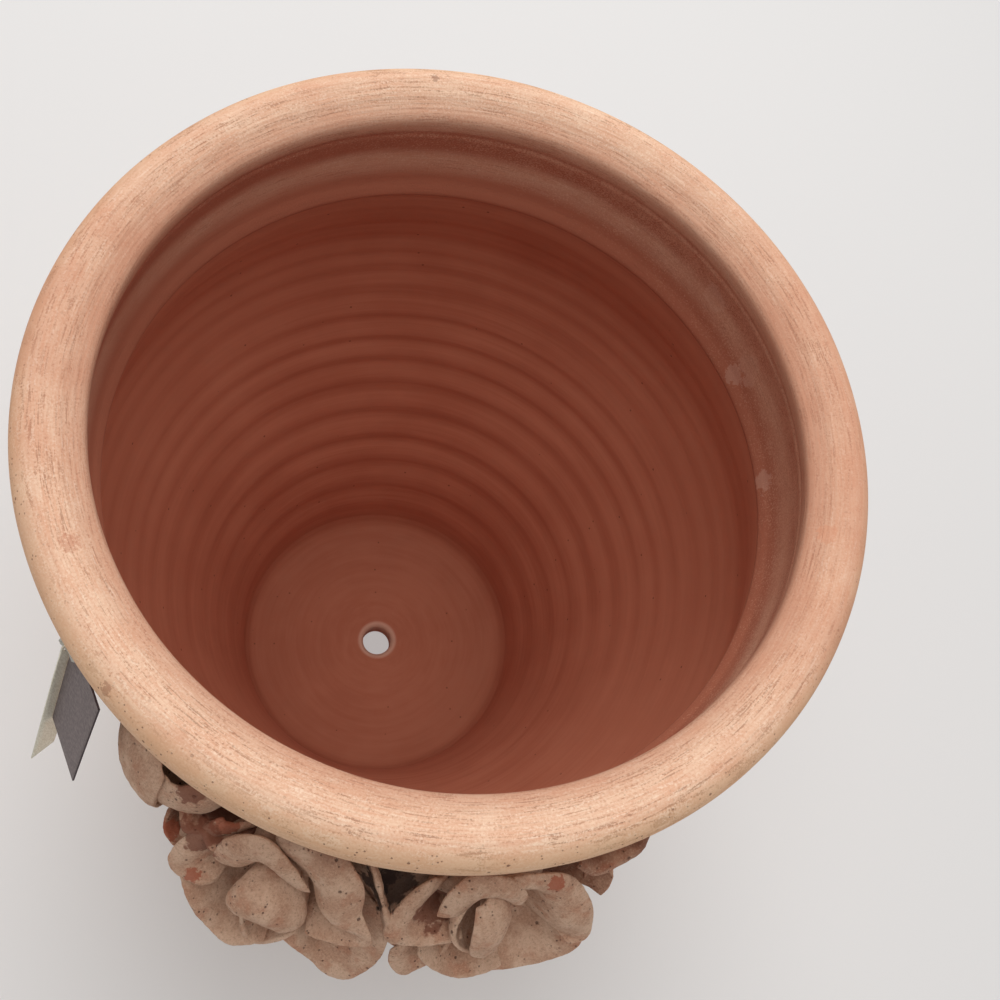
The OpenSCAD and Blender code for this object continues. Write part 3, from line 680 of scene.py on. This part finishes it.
def thrown(turn, r, z):
    wander = z + waves(turn, (1, 2, 3), 1.2)
    phase = np.interp(wander, RING_CRESTS, np.arange(len(RING_CRESTS)))
    strength = np.interp(z, RING_HEIGHTS, RING_STRENGTHS)
    towards_back = np.clip(
        RING_SHARE_AT_THE_SIDES + RING_GAIN_AT_THE_BACK * np.sin(turn), 0.1, 1)
    depth = RING_DEPTH * strength * (towards_back + waves(turn + z / 60, (1, 2, 5), 0.15))
    wall_inside = (r < np.vectorize(smooth_inside)(z) + 3) & (z > FLOOR + 1) & (z < JOINT - 1)
    ridge = np.cos(2 * math.pi * (phase - np.floor(phase)) ** RING_BEND)
    rings = np.where(wall_inside, -depth * ridge, 0)
    on_floor = ((z < FLOOR + 0.5) & (z > FLOOR - 0.5)
                & (r > DRAIN_MOUTH_RADIUS + 2) & (r < FLOOR_RADIUS))
    swirl = np.where(on_floor, SWIRL_DEPTH * np.sin((r + waves(turn, (1, 2), 2.0)) * 0.62), 0)
    wall_outside = (z > 3) & ~wall_inside & (r > FLOOR_RADIUS)
    marks = np.where(wall_outside,
                     RIB_DEPTH * np.sin(z / 2.1 + waves(turn, (1, 2), 1.0)) - RIB_CUT, 0)
    uneven = np.where(r > FLOOR_RADIUS, waves(turn, (2, 3, 5), 0.3) * np.clip(z / 100, 0, 1), 0)
    return r + rings + marks + uneven, z + np.minimum(swirl, 0)


body_mesh = spun("lower_section", body_profile, thrown)
print("lower section", len(body_mesh.polygons), "faces")

# %% [markdown]
# The rim went slightly oval when the pot was lifted off the wheel, and its top isn't quite level.
# Two sets of fine grooves run round the flat of it, where a stiff brush was held still. The oval
# and the wave of the top only take clay away, again to keep the pot to its size.

# %% The rim
OVAL, OVAL_TURN = 0.4, math.radians(100)
TOP_WAVE, TOP_CUT = 0.2, 0.25


def brushed(turn, r, z):
    oval = OVAL * np.cos(2 * (turn - OVAL_TURN)) - OVAL
    dents = waves(turn + z / 30, (3, 7, 11, 17), 0.15)
    on_band = (z > POT_HEIGHT - 9) & (r < RIM_RADIUS - 4)
    combed = 0.05 * np.sin(r * 4.1 + np.sin(turn * 3)) + 0.04 * np.sin(r * 9.7 + 1)
    grooves = np.where(on_band, combed, 0)
    top = waves(turn, (1, 2, 3), TOP_WAVE) - TOP_CUT
    lift = np.clip((z - UNDER_RIM) / 10, 0, 1)
    return r + oval * lift + dents, z + lift * (top + grooves)


collar_mesh = spun("rim", collar_profile, brushed)
print("rim", len(collar_mesh.polygons), "faces")

# %% [markdown]
# ## The pot's finishes
#
# Inside, the clay is smooth and red-brown, wiped with a wet sponge: only soft streaks round the
# wall, a few specks on the floor and a pale, rubbed edge round the drain hole. Outside and on the
# rim a pale slip was brushed on while the pot turned. It lies in fine lines round the pot, thicker
# here and thinner there, with dark pin holes, and the clay shows pinker where it is thin; the rim's
# pinker sides are painted shade. Both skins are one material, because the step from one to the
# other follows the pot's own shape.

# %% The brushed skin
PINK_CLAY = srgb(222, 170, 140)
CREAM_SLIP = srgb(236, 200, 172)
PALE_FLECK = srgb(248, 224, 202)
SCRATCH = srgb(158, 110, 84)
YELLOW_EDGE = srgb(222, 178, 136)
DARK_PIT = srgb(104, 62, 46)


def brushed_slip(place, along):
    """Cream slip in fine lines over pink clay, and how high each point of it stands."""
    fine = place.lines(0.8 * MM, 16 * MM, along, 3, 0.65)
    patch = place.grain(16 * MM, 3)
    speckle = place.grain(0.7 * MM, 2, 0.7)
    cover = (fine * 0.5 + patch * 0.35 + speckle * 0.5).between(0.48, 0.86)
    colour = tint(cover, PINK_CLAY, CREAM_SLIP)
    fleck = place.lines(0.7 * MM, 9 * MM, along, 2, 0.65) * 0.6 + speckle * 0.4
    colour = tint(fleck.between(0.53, 0.66) * 0.5, colour, PALE_FLECK)
    combed = place.lines(5 * MM, 50 * MM, along, 2).between(0.36, 0.6)
    scratch = place.lines(0.7 * MM, 12 * MM, along, 3, 0.65) * 0.7 + speckle * 0.3
    scratch = (1 - scratch).between(0.52, 0.62) * (0.25 + 0.75 * combed)
    colour = tint(scratch * 0.6, colour, SCRATCH)
    return colour, cover, scratch


def add_pits(place, colour, more):
    """Pin holes of two sizes; `more` is 1 where they are common."""
    small = place.pits(1.9 * MM, 0.2)
    large = place.pits(6 * MM, 0.1)
    chosen = place.grain(5 * MM, 2).between(0.42, 0.56)
    pit = small * chosen * (0.25 + 0.75 * more) + large * (0.25 + 0.75 * more)
    pit = pit.at_most(1.0)
    return tint(pit * 0.75, colour, DARK_PIT), pit


# %% [markdown]
# The rim is where the slip was brushed on thickest, so the brush lines are strongest there. It is
# painted pinker and darker at both sides and at the back, as painted shade, and has a few chips and
# smears. On the inside of the neck the slip thins out as a gritty bloom, lower down on the right
# than on the left. A chip or a smear is a ragged patch at its own place, which keeps it where the
# wear was.

# %% The rim's finish
SIDE_SHADE_PINK, LIP_PINK_AND_SHADE = srgb(196, 132, 104), srgb(186, 128, 102)
CLAY_RED, BLOOM, PALE_SMEAR = srgb(172, 104, 80), srgb(212, 160, 132), srgb(206, 164, 144)
RIM_MARKS = [((-0.0886, -0.107, 0.319), 2.2 * MM, srgb(140, 84, 60)),
             ((-0.1084, -0.0685, 0.3194), 3 * MM, srgb(190, 122, 94)),
             ((-0.0327, 0.1284, 0.3218), 1.5 * MM, srgb(120, 74, 56)),
             ((0.1244, -0.0173, 0.3179), 4 * MM, srgb(212, 146, 114))]
NECK_SMEARS = [((0.0902, 0.0843, 0.2915), 7 * MM), ((0.1077, 0.0595, 0.2862), 7 * MM),
               ((0.1055, 0.0620, 0.2765), 5 * MM), ((0.1200, 0.0201, 0.2740), 5 * MM)]

rim_finish, place = new_finish("brushed slip on the rim")
slip, cover, scratch = brushed_slip(place, place.radius + place.z)
edge = place.radius.between(0.1335, 0.1405)
slip = tint(edge * 0.55, slip, YELLOW_EDGE)
slip, pit = add_pits(place, slip, edge)
# Painted shade: pinker and darker at both sides and a little more at the back than at the front
sideways = (place.x.absolute() * 4.6 + place.x * 0.5
            - place.y.absolute() * 2.0 + place.y * 1.5)
wear_and_shade = (sideways + place.grain(40 * MM, 3)).between(0.6, 1.25)
slip = tint(wear_and_shade * 0.6, slip, SIDE_SHADE_PINK)
# Darker pink round the lip: partly bare clay where the slip thins, partly painted shade on the
# lip's rounding
slip = tint((1 - place.radius.between(0.1205, 0.1270)) * 0.5, slip, LIP_PINK_AND_SHADE)
for centre, size, shade in RIM_MARKS:
    slip = tint(place.spot(centre, size, 1.3) * 0.45, slip, shade)

# Below the lip the bloom starts higher on the left and is broken up by the clay's grit
bloom = ((place.z - 0.286) * 26 + place.x * 3.6 + (place.grain(9 * MM, 3) - 0.5) * 0.9
         + (place.grain(0.7 * MM, 3, 0.8) - 0.5) * 3.4)
neck_clay = tint(bloom.between(0.1, 1.0) * 0.75, CLAY_RED, BLOOM)
for centre, size in NECK_SMEARS:
    neck_clay = tint(place.spot(centre, size, 1.2) * 0.42, neck_clay, PALE_SMEAR)
in_neck = (1 - place.radius.between(0.1225, 0.1240)) * (1 - place.z.between(0.3045, 0.3115))
rim_colour = tint(in_neck, slip, neck_clay)
relief = cover * 0.4 - scratch * 0.6 - pit * 1.5
finish_of("rim", place, rim_colour, 0.88 - 0.08 * cover, relief, 0.6, 0.2 * MM)

# %% [markdown]
# The lower section is wet, red clay inside and brushed slip outside. What tells the two apart is
# which side of the wall's middle a point is on, so the same sum as in the profile is made again
# from nodes: the radius of the middle of the wall at each height. A patch of colour or an image
# couldn't follow the belly's curve so closely.

# %% Which side of the wall
body_finish, place = new_finish("thrown clay")
height = place.z
belly, joint = BELLY_HEIGHT * MM, JOINT * MM
rise = height.between(FLOOR * MM, belly) * 0.75 + height.straight(FLOOR * MM, belly) * 0.25
middle = rise * ((BELLY_RADIUS - FLOOR_RADIUS) * MM) + (FLOOR_RADIUS + FOOT_WALL / 2) * MM
middle = middle - height.straight(0, belly / 2) * ((FOOT_WALL - WALL) / 2 * MM)
middle = middle - height.between(belly, joint) * ((BELLY_RADIUS - BODY_TOP_RADIUS - 1) * MM)
inside = 1 - (place.radius - middle).between(-0.0005, 0.0005)
print("the inside is told apart from the outside with", len(place.tree.nodes), "nodes")

# %% [markdown]
# Inside, the sponge left soft streaks round the wall. They run on over the floor, so they are
# measured along the profile: height and distance from the axis added up. On the floor that makes
# rings, and on the wall level streaks. The side walls are tinted lighter as painted light, the
# floor and the foot of the wall are darker, and the drain hole's edge is rubbed pale.

# %% The lower section's finish
WARM_CLAY, DEEP_CLAY, STREAK = srgb(194, 124, 97), srgb(183, 111, 85), srgb(196, 134, 108)
SIDE_LIGHT_TINT, DARK_CORNER = srgb(222, 150, 120), srgb(140, 84, 62)
RUBBED_CLAY, REDDER_CLOUD = srgb(206, 170, 150), srgb(206, 132, 100)

along = height + place.radius
streak = place.lines(4 * MM, 120 * MM, along, 3)
fine = place.lines(0.9 * MM, 60 * MM, along, 2)
cloud = place.grain(40 * MM, 3)
wet = tint((streak * 0.5 + cloud * 0.5).between(0.35, 0.65), DEEP_CLAY, WARM_CLAY)
wet = tint(fine.between(0.4, 0.7) * 0.15, wet, STREAK)
# Painted light: the side walls inside are tinted lighter, where more light would fall
side_light_mask = place.x.absolute().between(0.04, 0.13) * height.between(0.03, 0.2)
wet = tint(side_light_mask * 0.35, wet, SIDE_LIGHT_TINT)
# The floor and the foot of the wall are tinted darker
wet = tint((1 - height.between(0.014, 0.03)) * 0.35, wet, DARK_CORNER)
speck = place.pits(11 * MM, 0.06)
wet = tint(speck * 0.7, wet, DARK_PIT)
rubbed = (1 - place.radius.between(0.0098, 0.0118)) * height.between(0.002, 0.009)
wet = tint(rubbed * 0.75, wet, RUBBED_CLAY)

slip, cover, scratch = brushed_slip(place, height)
slip, pit = add_pits(place, slip, cover)
slip = tint(cloud.between(0.45, 0.7) * 0.5, slip, REDDER_CLOUD)
body_colour = tint(inside, slip, wet)
relief = ((cover * 0.4 - scratch * 0.6 - pit * 1.5) * (1 - inside)
          + (streak * 0.5 + fine * 0.3) * inside)
finish_of("lower section", place, body_colour, 0.8 + 0.06 * cover, relief, 0.5, 0.2 * MM)

link("lower_section", body_mesh, "pot", "thrown_clay_body", body_finish, "pot_body")
link("rim", collar_mesh, "pot", "brushed_clay_rim", rim_finish, "rim_collar")

# %% [markdown]
# ## Roses, bud and leaves
#
# Each petal is a slab of clay that was pinched thin at its lip and pressed on. Its CAD solid has
# the right place and sweep, in flat facets. A copy of it is turned back into four-sided faces,
# subdivided twice or three times, which rounds the lips, and then pushed about by noise at two
# sizes: dents as wide as a fingertip, and the coarse grain of the clay. The CAD solid is hidden,
# and the copy is shown in its place.

# %% Clay that was shaped by hand
SHARP_TURN = math.radians(50)
DENTS_PER_METRE, GRAINS_PER_METRE = 110, 420


def modelled(node, name, material, slot, levels=3, dent=0.6, grain=0.2, crease=0.35):
    source = bmesh.new()
    source.from_mesh(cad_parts[node].data)
    bmesh.ops.remove_doubles(source, verts=source.verts[:], dist=1e-6)
    bmesh.ops.join_triangles(source, faces=source.faces[:], angle_face_threshold=math.pi,
                             angle_shape_threshold=math.pi)
    creases = source.edges.layers.float
    sharp = creases.get("crease_edge") or creases.new("crease_edge")
    for side in source.edges:
        if len(side.link_faces) == 2 and side.calc_face_angle() > SHARP_TURN:
            side[sharp] = crease
    mesh = bpy.data.meshes.new(name)
    source.to_mesh(mesh)
    source.free()
    rough = bpy.data.objects.new(name + "_rough", mesh)
    scene.collection.objects.link(rough)
    smooth = rough.modifiers.new("smooth", "SUBSURF")
    smooth.levels = smooth.render_levels = levels
    finished = rough.evaluated_get(bpy.context.evaluated_depsgraph_get())
    done = bpy.data.meshes.new_from_object(finished)
    bpy.data.objects.remove(rough)
    count = len(done.vertices)
    points = np.zeros(count * 3)
    normals = np.zeros(count * 3)
    done.vertices.foreach_get("co", points)
    done.vertices.foreach_get("normal", normals)
    points, normals = points.reshape(-1, 3), normals.reshape(-1, 3)
    push = np.empty(count)
    for i, p in enumerate(points):
        broad = noise.noise(Vector(p) * DENTS_PER_METRE)
        fine = noise.fractal(Vector(p) * GRAINS_PER_METRE, 1.0, 2.2, 3)
        push[i] = dent * broad + grain * fine
    points += normals * (push * MM)[:, None]
    done.vertices.foreach_set("co", points.ravel())
    done.update()
    done.name = name
    return link(name, done, "pot", slot, material, node)


# %% [markdown]
# The flowers are coarser clay than the pot, fired to a dull buff, with visible grit and small dark
# pits. It shows orange where it is chipped, and red in the folds, darkened there as painted shade;
# the dark patches in the gap between the roses are painted shadow. How far a point is from the axis
# tells how deep it lies between the petals, because all the flowers were pressed on from outside.
# So one sum paints shade into their hearts and leaves their lips clean.

# %% The flowers' finish
PALE_GRIT, BROWN_GRIT = srgb(228, 198, 172), srgb(118, 80, 62)
RECESS_SHADE_COLOUR, FLOWER_PIT = srgb(84, 44, 32), srgb(84, 54, 42)


def flower_finish(name, pale, dull, warm, deep_at, out_at, marks_and_shadows):
    material, place = new_finish(name)
    coarse = place.grain(0.8 * MM, 6, 0.78)
    cloud = place.grain(9 * MM, 3)
    colour = tint(cloud.between(0.35, 0.65), srgb(*dull), srgb(*pale))
    colour = tint(place.grain(6 * MM, 2).between(0.5, 0.7) * 0.45, colour, srgb(*warm))
    colour = tint(coarse.between(0.5, 0.7) * 0.55, colour, PALE_GRIT)
    colour = tint((1 - coarse).between(0.5, 0.7) * 0.55, colour, BROWN_GRIT)
    # Painted shade: deep between the petals the clay is darkened red-brown; the lips stand far from
    # the axis
    recess_shade_mask = 1 - (place.radius + (cloud - 0.5) * 0.008).between(deep_at, out_at)
    colour = tint(recess_shade_mask * 0.9, colour, RECESS_SHADE_COLOUR)
    pit = place.pits(2.4 * MM, 0.17) * place.grain(6 * MM, 1).between(0.4, 0.55)
    large = place.pits(8 * MM, 0.09)
    pit = (pit + large).at_most(1.0)
    colour = tint(pit * 0.7, colour, FLOWER_PIT)
    for centre, size, shade in marks_and_shadows:
        colour = tint(place.spot(centre, size, 1.0) * 0.8, colour, srgb(*shade))
    finish_of(name, place, colour, 0.88 - 0.05 * coarse, coarse * 1.1 - pit * 1.4, 1.0, 0.5 * MM)
    return material


# %% [markdown]
# Roses, bud and leaves share that finish and differ in tone and in where their hearts lie. The
# chips, the red folds with their painted shade and the painted shadow between the roses are patches
# with a centre, a size and a shade each.

# %% Clay for the roses, the bud and the leaves
# Painted shade: the red folds are red clay darkened as shade, and the darkest patches, in the gap
# between the roses, are painted shadow
CHIP, RED_FOLD_AND_SHADE, GAP_SHADOW = (170, 90, 64), (124, 70, 52), (44, 28, 26)
flower_clay = flower_finish(
    "rose clay", (216, 180, 154), (194, 152, 126), (184, 120, 90), 0.131, 0.144,
    [((-0.0591, -0.1488, 0.2494), 3 * MM, CHIP), ((0.0556, -0.1365, 0.2696), 3.2 * MM, CHIP),
     ((-0.0517, -0.1324, 0.2683), 5 * MM, CHIP), ((-0.0586, -0.1370, 0.2643), 8 * MM, RED_FOLD_AND_SHADE),
     ((0.0186, -0.1472, 0.2496), 8 * MM, RED_FOLD_AND_SHADE), ((0.0061, -0.1426, 0.2490), 9 * MM, GAP_SHADOW),
     ((0.0010, -0.1430, 0.2560), 9 * MM, GAP_SHADOW)])
bud_clay = flower_finish(
    "bud clay", (214, 178, 152), (194, 152, 126), (184, 120, 90), 0.122, 0.136,
    [((-0.0633, -0.1259, 0.2800), 5 * MM, RED_FOLD_AND_SHADE)])
leaf_clay = flower_finish(
    "leaf clay", (190, 146, 120), (164, 114, 90), (176, 104, 76), 0.137, 0.152,
    [((-0.0694, -0.1357, 0.2460), 4 * MM, CHIP), ((-0.0590, -0.1380, 0.2620), 8 * MM, RED_FOLD_AND_SHADE)])

# %% [markdown]
# The pads are thick lumps, so one round of subdivision rounds them enough. The petals, hoods and
# folds are thin and get three. Every piece stands in for one solid and rides on the pot.

# %% The roses and the bud
PETALS_PER_ROSE, PETALS_PER_BUD = 8, 4
shaped = []
for rose in ("middle_rose", "right_rose"):
    shaped.append(modelled(rose + "_pad", rose + "_heart", flower_clay, "flower_clay", 1))
    for part in ["hood", "fold"] + ["petal_%d" % (i + 1) for i in range(PETALS_PER_ROSE)]:
        shaped.append(modelled("%s_%s" % (rose, part), "%s_%s_shaped" % (rose, part),
                               flower_clay, "flower_clay"))
for part in ["pad", "core"] + ["petal_%d" % (i + 1) for i in range(PETALS_PER_BUD)]:
    shaped.append(modelled("left_bud_" + part, "left_bud_%s_shaped" % part, bud_clay, "flower_clay",
                           1 if part == "pad" else 3))
print(len(shaped), "pieces,", sum(len(piece.data.polygons) for piece in shaped), "faces")

# %% [markdown]
# The leaf that the thread goes through is dented least, and subdivided less: its hole has to stay
# round and clear of the thread. The other four are crumpled like the petals.

# %% The leaves
for leaf in ("leaf_between", "leaf_low_left", "leaf_right", "leaf_right_curl"):
    shaped.append(modelled(leaf, leaf + "_shaped", leaf_clay, "leaf_clay", 3, 0.4))
shaped.append(modelled("leaf_pierced", "leaf_pierced_shaped", leaf_clay, "leaf_clay", 2, 0.1))
print("five leaves;", len(shaped), "shaped pieces in all")

# %% [markdown]
# ## Floor and light
#
# The pot stands on a plain pale ground in soft light. A wide floor carries the ground's colour and
# takes the pot's shadow. Far out it glows at a fixed pale level for the camera alone, so there is
# no grey line at the horizon. The ground seen through the drain hole glows at its own set level, as
# painted light.

# %% The floor
FLOOR_HALF, FLOOR_DROP = 4.0, 0.0002
FAR_FROM, FAR_TO = 0.75, 1.8

ground, place = new_finish("pale ground")
patch = place.grain(0.9, 2)
colour = tint(patch, srgb(226, 225, 225), srgb(232, 231, 230))
matte = place.point.node("ShaderNodeBsdfDiffuse", None, {"Color": colour})
seen = place.point.node("ShaderNodeLightPath", output="Is Camera Ray")
under_hole = 1 - place.radius.between(0.0078, 0.0086)
# Painted light: under the drain hole the ground glows at a set level for the camera
hole_glow_light = place.point.node("ShaderNodeEmission", None,
                        {"Color": srgb(206, 198, 196), "Strength": 0.75})
far = place.radius.between(FAR_FROM, FAR_TO)
pale = place.point.node("ShaderNodeEmission", None, {"Color": srgb(236, 235, 234), "Strength": 1.0})
both = place.point.node("ShaderNodeMixShader", None, {0: seen * far, 1: matte, 2: pale})
both = place.point.node("ShaderNodeMixShader", None, {0: seen * under_hole, 1: both, 2: hole_glow_light})
both.node("ShaderNodeOutputMaterial", None, {"Surface": both})

floor_mesh = bpy.data.meshes.new("floor")
floor_corners = [(x * FLOOR_HALF, y * FLOOR_HALF, -FLOOR_DROP)
                 for x, y in ((-1, -1), (1, -1), (1, 1), (-1, 1))]
floor_mesh.from_pydata(floor_corners, [], [(0, 1, 2, 3)])
floor_mesh.materials.append(ground)
floor = bpy.data.objects.new("floor", floor_mesh)
scene.collection.objects.link(floor)
floor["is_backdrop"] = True
print("the floor is", 2 * FLOOR_HALF, "m wide")

# %% [markdown]
# The world gives most of the light. A large soft lamp behind the pot, like a window, gives the
# shadows their direction, and one overhead, like a ceiling that the window lights, fills the
# inside of the pot. Both are large, because a small lamp would draw hard edges. Camera rays that
# miss the floor see the world at a fixed pale level, however strong the light on the pot is.

# %% The lamps and the world
ROOM_LIGHT, BACKGROUND = 0.44, 0.84
LAMPS_AIM_AT = Vector((0, 0, 0.2))


def soft_lamp(name, at, size, watts, colour):
    data = bpy.data.lights.new(name, "AREA")
    data.shape = "DISK"
    data.size, data.energy, data.color = size, watts, colour
    lamp = bpy.data.objects.new(name, data)
    scene.collection.objects.link(lamp)
    lamp.location = at
    lamp.rotation_euler = (LAMPS_AIM_AT - Vector(at)).to_track_quat("-Z", "Y").to_euler()
    lamp.visible_camera = False


soft_lamp("window", (-0.2, 1.30, 1.65), 1.3, 14, (1.0, 0.985, 0.97))
soft_lamp("ceiling", (0.0, 0.05, 2.2), 1.9, 18, (1.0, 0.99, 0.98))

world = bpy.data.worlds.new("room")
scene.world = world
world.use_nodes = True
world.node_tree.nodes.clear()
start = Wire(world.node_tree)
direct = (start.node("ShaderNodeLightPath", output="Is Camera Ray")
          + start.node("ShaderNodeLightPath", output="Is Glossy Ray")
          + start.node("ShaderNodeLightPath", output="Is Transmission Ray")).at_most(1.0)
sky = start.node("ShaderNodeBackground", None, {
    "Color": (1, 0.995, 0.99, 1), "Strength": ROOM_LIGHT + (BACKGROUND - ROOM_LIGHT) * direct})
sky.node("ShaderNodeOutputWorld", None, {"Surface": sky})

scene.view_settings.view_transform = "Standard"
print("one floor, two lamps and the room's light")

# %% Sizes and the last check
visual_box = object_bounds()
difference = max((a - b).length for a, b in zip(cad_box, visual_box))
print("largest difference", round(difference / MM, 2), "mm")
